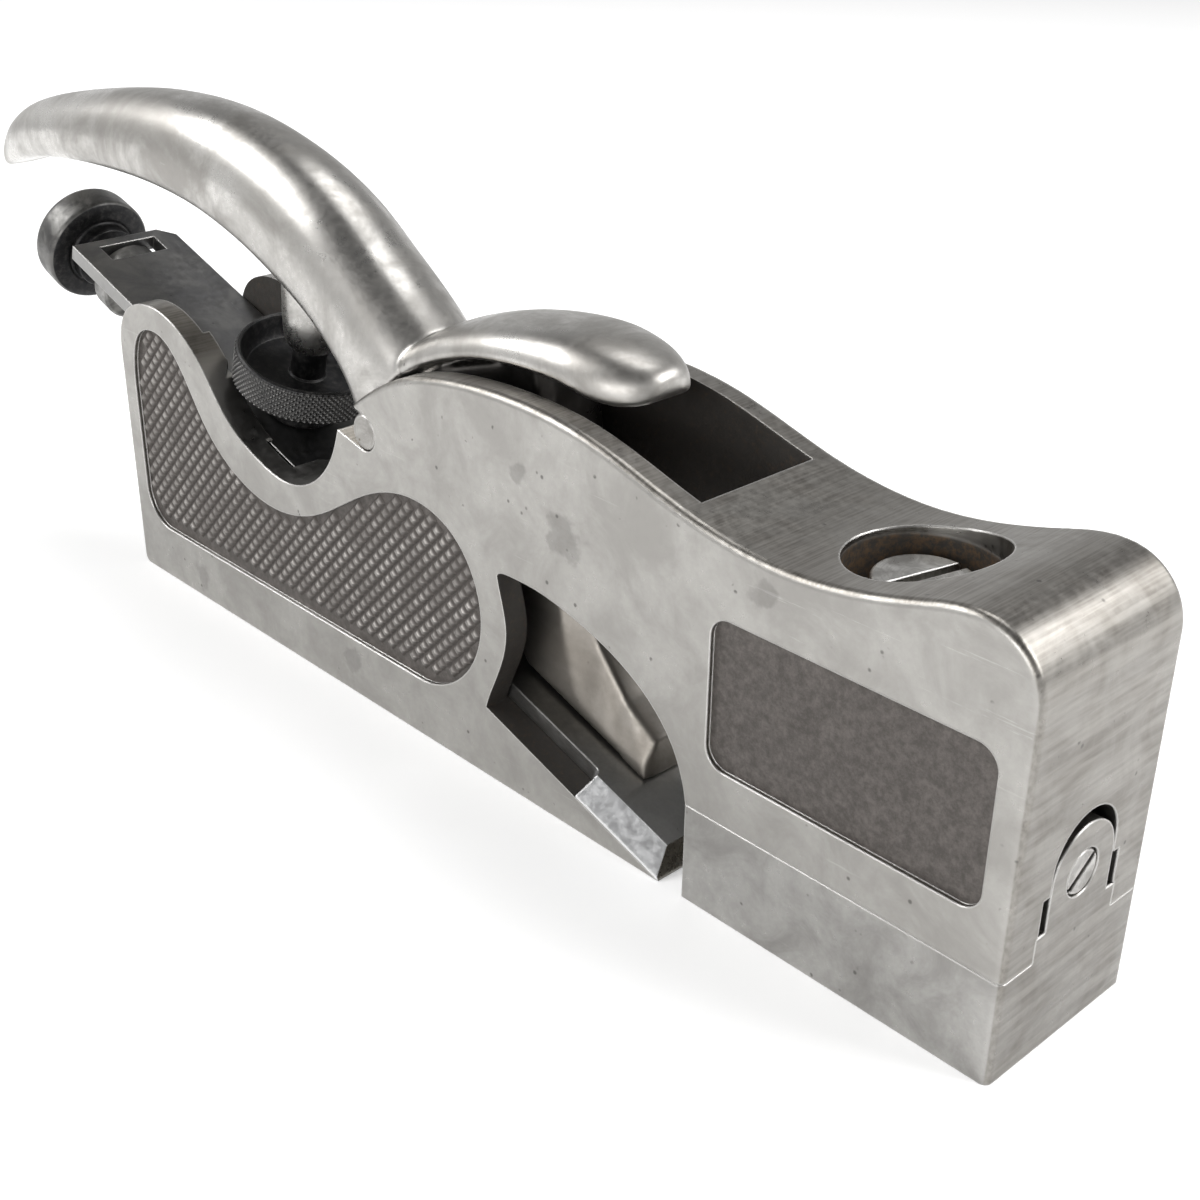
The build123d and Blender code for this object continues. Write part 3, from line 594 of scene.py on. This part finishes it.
# Turns a profile of (radius, height) about an axis; dent(radius, height, turn) may change the radius
def turned(profile, base, axis, segments, dent=None):
    axis = Vector(axis).normalized()
    sideways = Vector((0, 1, 0))
    third = axis.cross(sideways)
    rings = []
    for radius, height in profile:
        ring = []
        for segment in range(segments):
            turn = 2 * math.pi * segment / segments
            reach = dent(radius, height, turn) if dent else radius
            ring.append(base + axis * height + (sideways * math.cos(turn) + third * math.sin(turn)) * reach)
        rings.append(ring)
    return skin(rings)


# The same from a profile in millimetres
def turnedMm(profile, base, axis, segments, dent=None):
    return turned([(radius * mm, height * mm) for radius, height in profile], base, axis, segments, dent)


# Keeps a crease where faces meet at more than the angle
def markSharp(piece, degrees):
    work = bmesh.new()
    work.from_mesh(piece.data)
    limit = math.radians(degrees)
    for edge in work.edges:
        if len(edge.link_faces) == 2 and edge.calc_face_angle(0) > limit:
            edge.smooth = False
    work.to_mesh(piece.data)
    work.free()


def finishPiece(piece, body, slotName, *replaced):
    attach(piece, body)
    if replaced:
        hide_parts(*replaced)
    return piece


# The lever, one casting
lever = {
    "voxel": 0.45 * mm,
    "smoothing": 10,
    # underside x and z, crown x and z, half width: millimetres from the heel
    "tail": [(-67.0, 67.9, -67.0, 70.0, 2.2), (-66.2, 67.7, -66.2, 72.2, 3.7),
             (-63.0, 68.6, -64.4, 75.2, 5.0), (-55.0, 70.9, -58.0, 80.4, 6.6),
             (-42.0, 74.0, -46.0, 85.1, 7.9), (-22.0, 76.4, -24.0, 89.8, 9.0), (0.0, 77.2, 0.0, 93.1, 9.6),
             (18.0, 76.0, 22.0, 93.4, 9.9), (33.0, 72.8, 41.0, 90.2, 10.2), (46.0, 68.2, 56.0, 84.7, 10.5),
             (57.0, 63.0, 67.5, 76.8, 10.8), (65.5, 56.0, 77.0, 70.1, 11.0), (70.0, 48.0, 84.5, 64.5, 11.0)],
    # x, underside z, crown z, half width
    "rest": [(77.0, 58.5, 62.0, 8.0), (82.0, 60.8, 66.3, 9.6), (90.0, 64.9, 70.6, 10.0),
             (100.0, 68.3, 73.8, 10.0), (110.0, 69.8, 75.7, 10.0), (119.0, 69.9, 76.4, 9.8),
             (126.0, 68.6, 75.8, 9.0), (130.5, 68.4, 74.6, 7.2), (133.0, 68.9, 73.4, 4.8),
             (134.0, 70.0, 72.2, 2.4)],
    "hub": [(71.5, 53), (76, 57), (86, 58.5), (100, 59), (106, 55), (98, 47), (76, 44), (71.8, 47.5)],
    "leg": [(137, 7.4), (137, 14.0), (130, 18.6), (123.5, 26), (119, 38), (115, 52), (112, 71), (84, 63),
            (77, 45), (92, 37), (109, 17.0), (131, 9.7), (131.5, 9.2)],
    "flank": [(136.8, 7.5), (136.6, 9.9), (128, 12.4), (121.2, 16), (118.4, 25), (114.5, 48), (111, 70.5),
              (84, 62), (78, 46), (92, 38), (109, 17.2), (131, 9.8), (131.5, 9.3)],
    "hubHalf": 11.0, "flankHalf": 6.5, "legHalf": 4.2,
    # the boss for the screw's stem: heights along the screw, from a point below the wheel
    "boss": {"belowWheel": 6.25, "radius": 5.2, "lean": 7.5, "start": 14.85, "length": 20.5,
             "bore": 3.3, "boreBelow": 3, "boreAbove": 18},
}

# Half of the tail's section: share of the half width, share of the height
crownedSection = [(0.0, 0.0), (0.45, 0.0), (0.78, 0.015), (0.93, 0.08), (0.99, 0.2), (1.0, 0.36),
                  (0.96, 0.54), (0.85, 0.72), (0.66, 0.86), (0.42, 0.955), (0.2, 0.99), (0.0, 1.0)]

# Half of the thumb rest's section: widest at its lower edge
domedSection = [(0.0, 0.0), (0.5, 0.0), (0.88, 0.0), (0.97, 0.03), (1.0, 0.12), (0.99, 0.26), (0.94, 0.46),
                (0.84, 0.66), (0.68, 0.83), (0.45, 0.94), (0.22, 0.985), (0.0, 1.0)]


def sectionRing(under, crown, half, section):
    shape = section + [(-across, up) for across, up in reversed(section[1:-1])]
    outline = smoothLine(shape, 3, closed=True)
    return [under + (crown - under) * up + Vector((0, across * half, 0)) for across, up in outline]


def fromHeel(x, y, z):
    return Vector((heelX + x * mm, y * mm, z * mm))


def joinShells(name, shells, material):
    points, faces = [], []
    for shellPoints, shellFaces in shells:
        start = len(points)
        points += shellPoints
        faces += [tuple(start + index for index in face) for face in shellFaces]
    return newPiece(name, points, faces, material)


def applyModifiers(piece):
    graph = bpy.context.evaluated_depsgraph_get()
    mesh = bpy.data.meshes.new_from_object(piece.evaluated_get(graph))
    piece.modifiers.clear()
    piece.data = mesh


def makeLever(look):
    shells = []
    rings = [sectionRing(fromHeel(ux, 0, uz), fromHeel(cx, 0, cz), half * mm, crownedSection)
             for ux, uz, cx, cz, half in smoothLine(look["tail"], 7)]
    shells.append(skin(rings))
    rings = [sectionRing(fromHeel(x, 0, low), fromHeel(x, 0, high), half * mm, domedSection)
             for x, low, high, half in smoothLine(look["rest"], 7)]
    shells.append(skin(rings))
    hubSides = (-look["hubHalf"], look["hubHalf"])
    shells.append(skin([[fromHeel(x, y, z) for x, z in look["hub"]] for y in hubSides]))
    legRings = []
    flankHalf, legHalf = look["flankHalf"], look["legHalf"]
    for y, outline in ((-flankHalf, "flank"), (-legHalf, "leg"), (legHalf, "leg"), (flankHalf, "flank")):
        legRings.append([fromHeel(x, y, z) for x, z in look[outline]])
    shells.append(skin(legRings))
    boss = look["boss"]
    pressPoint = wheelPoint - offBed * boss["belowWheel"] * mm
    spread = math.tan(math.radians(boss["lean"]))
    profile = [(0.1 * mm, boss["start"] * mm), ((boss["radius"] - 1.5) * mm, boss["start"] * mm),
               ((boss["radius"] - 0.6) * mm, (boss["start"] + 0.4) * mm),
               (boss["radius"] * mm, (boss["start"] + 1.7) * mm)]
    for share in (0.3, 0.6, 1.0):
        profile.append(((boss["radius"] + boss["length"] * share * spread) * mm,
                        (boss["start"] + boss["length"] * share) * mm))
    profile.append((0.1 * mm, (boss["start"] + boss["length"]) * mm))
    shells.append(turned(profile, pressPoint, offBed, 48))
    piece = joinShells("lever_casting", shells, polishedIron)
    remesh = piece.modifiers.new("remesh", "REMESH")
    remesh.mode = "VOXEL"
    remesh.voxel_size = look["voxel"]
    remesh.use_smooth_shade = True
    smooth = piece.modifiers.new("smooth", "SMOOTH")
    smooth.factor = 0.5
    smooth.iterations = look["smoothing"]
    applyModifiers(piece)
    # bore for the screw's stem
    bore = boss["bore"] * mm
    stemLow = (boss["start"] - boss["boreBelow"]) * mm
    stemHigh = (boss["start"] + boss["boreAbove"]) * mm
    points, faces = turned([(bore, stemLow), (bore, stemHigh)], pressPoint, offBed, 48)
    cutterTool = newPiece("boreTool", points, faces, polishedIron)
    hole = piece.modifiers.new("bore", "BOOLEAN")
    hole.operation = "DIFFERENCE"
    hole.solver = "EXACT"
    hole.object = cutterTool
    applyModifiers(piece)
    bpy.data.objects.remove(cutterTool)
    for face in piece.data.polygons:
        face.use_smooth = True
    markSharp(piece, 40)
    return finishPiece(piece, "lever_cap", "polished_iron", "lever")


makeLever(lever)
print("lever made")


# The knurled wheel with its dish and stem
wheel = {"radius": 13.7, "thickness": 7.1, "dish": 4.6, "rim": 1.0, "stem": 3.2, "stemLength": 15.0,
         "knurls": 76, "rows": 5, "knurlDepth": 0.42}


def makeWheel(look):
    radius = look["radius"]
    top = look["thickness"]
    floor = top - look["dish"]
    columns = look["knurls"] * 2
    bandLow, bandHigh = 0.8, top - 0.7
    knurlRows = look["rows"] * 2
    profile = [(0.2, -2.6), (2.1, -2.6), (2.35, -2.35), (2.35, 0.0), (9.5, 0.0), (radius - 1.0, 0.12),
               (radius - 0.45, 0.35)]
    band = [(radius, bandLow + (bandHigh - bandLow) * row / knurlRows) for row in range(knurlRows + 1)]
    profile += band
    profile += [(radius - 0.35, top - 0.3), (radius - 0.6, top - 0.05), (radius - 0.85, top),
                (radius - look["rim"] - 0.1, top - 0.2), (radius - look["rim"] - 0.4, top - 0.9),
                (radius - look["rim"] - 0.9, floor + 1.2), (radius - look["rim"] - 1.6, floor + 0.3),
                (radius - look["rim"] - 2.6, floor), (5.6, floor - 0.1), (5.2, floor),
                (look["stem"] + 0.3, floor),
                (look["stem"], floor + 0.3), (look["stem"], floor + look["stemLength"] - 0.4),
                (look["stem"] - 0.4, floor + look["stemLength"]), (0.2, floor + look["stemLength"])]
    bandRows = {round(height, 5): row for row, (_, height) in enumerate(band)}

    # peaks and valleys of the diamond knurl
    def knurl(reach, height, turn):
        row = bandRows.get(round(height / mm, 5))
        if row is None or abs(reach - radius * mm) > 1e-7:
            return reach
        column = round(turn / (2 * math.pi) * columns)
        return reach - (0 if (row + column) % 2 else look["knurlDepth"] * mm)

    points, faces = turnedMm(profile, wheelPoint, offBed, columns, knurl)
    # each knurl face is split from valley to valley, so that the peaks stand as pyramids
    firstBand = profile.index(band[0])
    split = []
    for face in faces:
        row = face[0] // columns - firstBand
        if len(face) != 4 or not 0 <= row < knurlRows:
            split.append(face)
        elif (row + face[0] % columns) % 2:
            split += [(face[0], face[1], face[3]), (face[1], face[2], face[3])]
        else:
            split += [(face[0], face[1], face[2]), (face[0], face[2], face[3])]
    piece = newPiece("knurled_wheel", points, split, wheelBlack)
    markSharp(piece, 28)
    return finishPiece(piece, "wheel", "black_steel", "lever_screw")


makeWheel(wheel)


# The domed knob
knob = {"front": 3.2, "length": 12.2, "radius": 11.2, "hub": 6.6, "start": 9.3}


def makeKnob(look):
    radius, length, front = look["radius"], look["length"], look["front"]
    profile = [(0.3, 0.05), (4.6, 0.05), (look["hub"] - 0.5, 0.1), (look["hub"], 0.5),
               (look["hub"], front - 0.7),
               (look["hub"] + 0.5, front - 0.15), (7.6, front - 0.4), (9.4, front - 0.25),
               (radius - 0.9, front),
               (radius - 0.3, front + 0.3), (radius, front + 1.0), (radius, front + 2.4),
               (radius - 0.05, length - 3.2), (radius - 0.35, length - 2.0), (radius - 1.2, length - 1.0),
               (radius - 3.2, length - 0.35), (5.6, length + 0.05), (3.0, length + 0.28),
               (0.3, length + 0.38)]
    profile = smoothLine(profile, 3)
    base = spindlePoint + upBed * look["start"] * mm
    points, faces = turnedMm(profile, base, upBed, 96)
    piece = newPiece("adjuster_knob_dome", points, faces, knobBlack)
    markSharp(piece, 40)
    return finishPiece(piece, "adjuster", "black_steel", "adjuster_knob")


makeKnob(knob)


# The adjuster spindle with its thread and collar
spindle = {"radius": 2.6, "pitch": 1.0, "depth": 0.28, "reach": 48.0, "collar": 7.4,
           "collarHalf": 2.4, "tail": 18.5}


def makeSpindle(look):
    radius = look["radius"]
    profile = [(0.2, -look["reach"]), (radius - 0.5, -look["reach"])]
    steps = int((look["reach"] - look["collarHalf"] - 2.5) / look["pitch"] * 6)
    threadEnd = -look["collarHalf"] - 2.0
    for step in range(steps + 1):
        along = -look["reach"] + 0.5 + step * look["pitch"] / 6
        if along < threadEnd:
            profile.append((radius, along))
    threadCount = len(profile)
    half = look["collarHalf"]
    profile += [(radius - 0.3, threadEnd + 0.2), (radius - 0.3, -half - 0.1), (radius + 0.6, -half),
                (look["collar"] - 0.5, -half), (look["collar"], -half + 0.5), (look["collar"], half - 0.5),
                (look["collar"] - 0.5, half), (radius, half), (radius, look["tail"]), (0.2, look["tail"])]
    ends = (profile[1][1] * mm, profile[threadCount - 1][1] * mm)

    # the thread climbs one pitch a turn
    def thread(reach, height, turn):
        if not ends[0] < height <= ends[1] or abs(reach - radius * mm) > 1e-7:
            return reach
        phase = (height / mm / look["pitch"] + turn / (2 * math.pi)) % 1.0
        return reach - look["depth"] * mm * (1 - abs(2 * phase - 1))

    points, faces = turnedMm(profile, spindlePoint, upBed, 48, thread)
    piece = newPiece("threaded_spindle", points, faces, spindleBlack)
    markSharp(piece, 35)
    return finishPiece(piece, "adjuster", "black_steel", "adjuster_spindle")


makeSpindle(spindle)
print("wheel, knob and spindle made")


# Checkering in the grip recess
checkering = {
    "spacing": 2.16, "height": 0.62, "base": 0.95, "tip": 0.3, "floor": 0.9,
    "border": 1.15, "lowBorder": 2.7, "lowBelow": 15, "start": (1.0, 8.0), "rows": 40, "columns": 60,
    "outline": [(3.9, 38), (8, 51), (15.5, 52.1), (21.5, 47.8), (29.3, 37.5), (41, 30.1), (52, 28.6),
                (64, 31.8), (77.5, 39.7), (91, 44.1), (102.5, 41), (107.4, 35), (108.7, 28.5),
                (107.6, 22.2), (104, 16.5), (98.5, 12.4), (92, 10.8)],
    "foot": [(60, 10.8), (30, 10.8), (11, 10.8), (6.0, 12.9), (3.9, 17.9), (3.9, 28)],
}
checkerLook = {"low": (0.075, 0.066, 0.06), "high": (0.30, 0.285, 0.27)}


def makeCheckerIron(look):
    material, tree, shader = newMaterial("checkerIron")
    place = add(tree, "TexCoord").outputs["Object"]
    spot = add(tree, "SeparateXYZ", {0: place}).outputs
    reach = calc(tree, "ABSOLUTE", spot["Y"])
    floor = sideY - checkering["floor"] * mm
    rubbed = fade(tree, reach, floor + 0.0002, floor + 0.00062)
    iron = useGroup(tree, handledIron, {"Cloud size": 150.0, "Pit size": 900.0, "Pits": 0.5})
    rubbed = calc(tree, "MULTIPLY", rubbed, fade(tree, iron["Cloud"], 0.0, 1.0, 0.45, 1.0))
    grain = add(tree, "TexNoise", {"Vector": place, "Scale": 1500.0, "Detail": 4.0}).outputs["Fac"]
    tone = blendColour(tree, rubbed, look["low"], look["high"])
    tone = blendColour(tree, fade(tree, grain, 0.45, 0.75, 0.0, 0.4), tone, look["low"])
    bump = add(tree, "Bump", {"Strength": 0.5, "Distance": 0.00005, "Height": grain})
    tree.links.new(tone, shader.inputs["Base Color"])
    tree.links.new(fade(tree, rubbed, 0.0, 1.0, 0.6, 0.4), shader.inputs["Roughness"])
    tree.links.new(fade(tree, rubbed, 0.0, 1.0, 0.5, 1.0), shader.inputs["Metallic"])
    tree.links.new(bump.outputs["Normal"], shader.inputs["Normal"])
    return material


def distanceToLine(point, first, second):
    span = second - first
    share = max(0.0, min(1.0, (point - first).dot(span) / span.length_squared))
    return (point - first - span * share).length


def insideOutline(point, outline):
    inside = False
    for first, second in zip(outline, outline[1:] + outline[:1]):
        if (first.y > point.y) != (second.y > point.y):
            crossing = first.x + (point.y - first.y) * (second.x - first.x) / (second.y - first.y)
            if point.x < crossing:
                inside = not inside
    return inside


def makeCheckering(look, side, name, material):
    outline = [Vector(point) for point in smoothLine(look["outline"] + look["foot"], 5, closed=True)]
    edges = list(zip(outline, outline[1:] + outline[:1]))
    step = look["spacing"] / math.sqrt(2)
    floorY = side * (sideY / mm - look["floor"])
    points, faces = [], []
    startX, startZ = look["start"]
    for row in range(look["rows"]):
        for column in range(look["columns"]):
            centre = Vector(((column + (row % 2) / 2) * 2 * step + startX, row * step + startZ))
            border = look["lowBorder"] if centre.y < look["lowBelow"] else look["border"]
            if not insideOutline(centre, outline):
                continue
            if min(distanceToLine(centre, first, second) for first, second in edges) < border:
                continue
            start = len(points)
            base, tip = step * look["base"], step * look["tip"]
            for size, lift in ((base, -0.06), (base, 0.03), (tip, look["height"])):
                for across, up in ((1, 0), (0, 1), (-1, 0), (0, -1)):
                    points.append(fromHeel(centre.x + across * size, floorY + side * lift,
                                           centre.y + up * size))
            for level in (0, 4):
                for corner in range(4):
                    after = (corner + 1) % 4
                    faces.append((start + level + corner, start + level + after,
                                  start + level + 4 + after, start + level + 4 + corner))
            faces.append((start, start + 1, start + 2, start + 3))
            faces.append((start + 8, start + 9, start + 10, start + 11))
    piece = newPiece(name, points, faces, material, smooth=False)
    return finishPiece(piece, "plane", "ground_iron")


checkerIron = makeCheckerIron(checkerLook)
makeCheckering(checkering, -1, "grip_checkering_right", checkerIron)
makeCheckering(checkering, 1, "grip_checkering_left", checkerIron)
print("checkering made")


# Floor, sky, lights and camera
studio = {"floorTone": 0.9, "floorGlow": 0.22, "zenith": 0.12, "horizon": 0.85}


def makeStudio(look):
    mesh = bpy.data.meshes.new("floor")
    size = 6.0
    height = cadBox[0][2] - 0.00002
    corners = [(-size, -size, height), (size, -size, height), (size, size, height), (-size, size, height)]
    mesh.from_pydata(corners, [], [(0, 1, 2, 3)])
    floor = bpy.data.objects.new("floor", mesh)
    bpy.context.scene.collection.objects.link(floor)
    material, tree, shader = newMaterial("paleFloor", Roughness=0.9)
    tone = look["floorTone"]
    shader.inputs["Base Color"].default_value = (tone, tone, tone, 1)
    shader.inputs["Emission Color"].default_value = (1, 1, 1, 1)
    shader.inputs["Emission Strength"].default_value = look["floorGlow"]
    shader.inputs["Specular IOR Level"].default_value = 0.0
    mesh.materials.append(material)
    world = bpy.data.worlds.new("studioSky")
    bpy.context.scene.world = world
    world.use_nodes = True
    tree = world.node_tree
    background = tree.nodes["Background"]
    place = add(tree, "TexCoord").outputs["Generated"]
    up = add(tree, "SeparateXYZ", {0: place}).outputs["Z"]
    level = fade(tree, up, 0.05, 0.85, look["horizon"], look["zenith"])
    tree.links.new(level, background.inputs["Strength"])
    background.inputs["Color"].default_value = (1, 1, 1, 1)


softboxes = [
    # name, place, aimed at, width, height, watts
    ("leftBox", (-0.75, -0.55, 0.75), (0, 0, 0.04), 0.7, 0.5, 9.0),
    ("rightBox", (0.75, 0.45, 0.60), (0, 0, 0.04), 0.5, 0.6, 7.0),
    ("frontBox", (0.35, -1.0, 0.35), (0, 0, 0.03), 0.9, 0.3, 5.0),
    ("topBox", (-0.12, 0.32, 0.95), (0, 0, 0.04), 0.45, 0.35, 2.6),
    ("backBox", (0.50, 0.75, 0.70), (0, 0, 0.04), 0.4, 0.4, 2.2),
]


def makeLights():
    for name, place, target, width, height, power in softboxes:
        data = bpy.data.lights.new(name, "AREA")
        data.shape = "RECTANGLE"
        data.size = width
        data.size_y = height
        data.energy = power
        light = bpy.data.objects.new(name, data)
        light.location = place
        light.rotation_euler = (Vector(target) - Vector(place)).to_track_quat("-Z", "Y").to_euler()
        bpy.context.scene.collection.objects.link(light)


view = {"lens": 51.8, "azimuth": 46.406, "elevation": 27.285, "roll": 0.725,
        "place": (297.32, -169.33, 157.55)}


def makeCamera(look):
    data = bpy.data.cameras.new("camera")
    data.lens = look["lens"]
    data.sensor_width = 36.0
    data.clip_start = 0.01
    data.clip_end = 50.0
    camera = bpy.data.objects.new("camera", data)
    azimuth, elevation, roll = (math.radians(look[key]) for key in ("azimuth", "elevation", "roll"))
    back = Vector((math.sin(azimuth) * math.cos(elevation), -math.cos(azimuth) * math.cos(elevation),
                   math.sin(elevation)))
    right = Vector((math.cos(azimuth), math.sin(azimuth), 0))
    up = back.cross(right)
    tiltedRight = math.cos(roll) * right + math.sin(roll) * up
    tiltedUp = -math.sin(roll) * right + math.cos(roll) * up
    matrix = Matrix((tiltedRight, tiltedUp, back)).transposed().to_4x4()
    matrix.translation = fromHeel(*look["place"])
    camera.matrix_world = matrix
    bpy.context.scene.collection.objects.link(camera)
    bpy.context.scene.camera = camera


makeStudio(studio)
makeLights()
makeCamera(view)
bpy.context.scene.view_settings.view_transform = "Standard"
print("studio, lights and camera made")
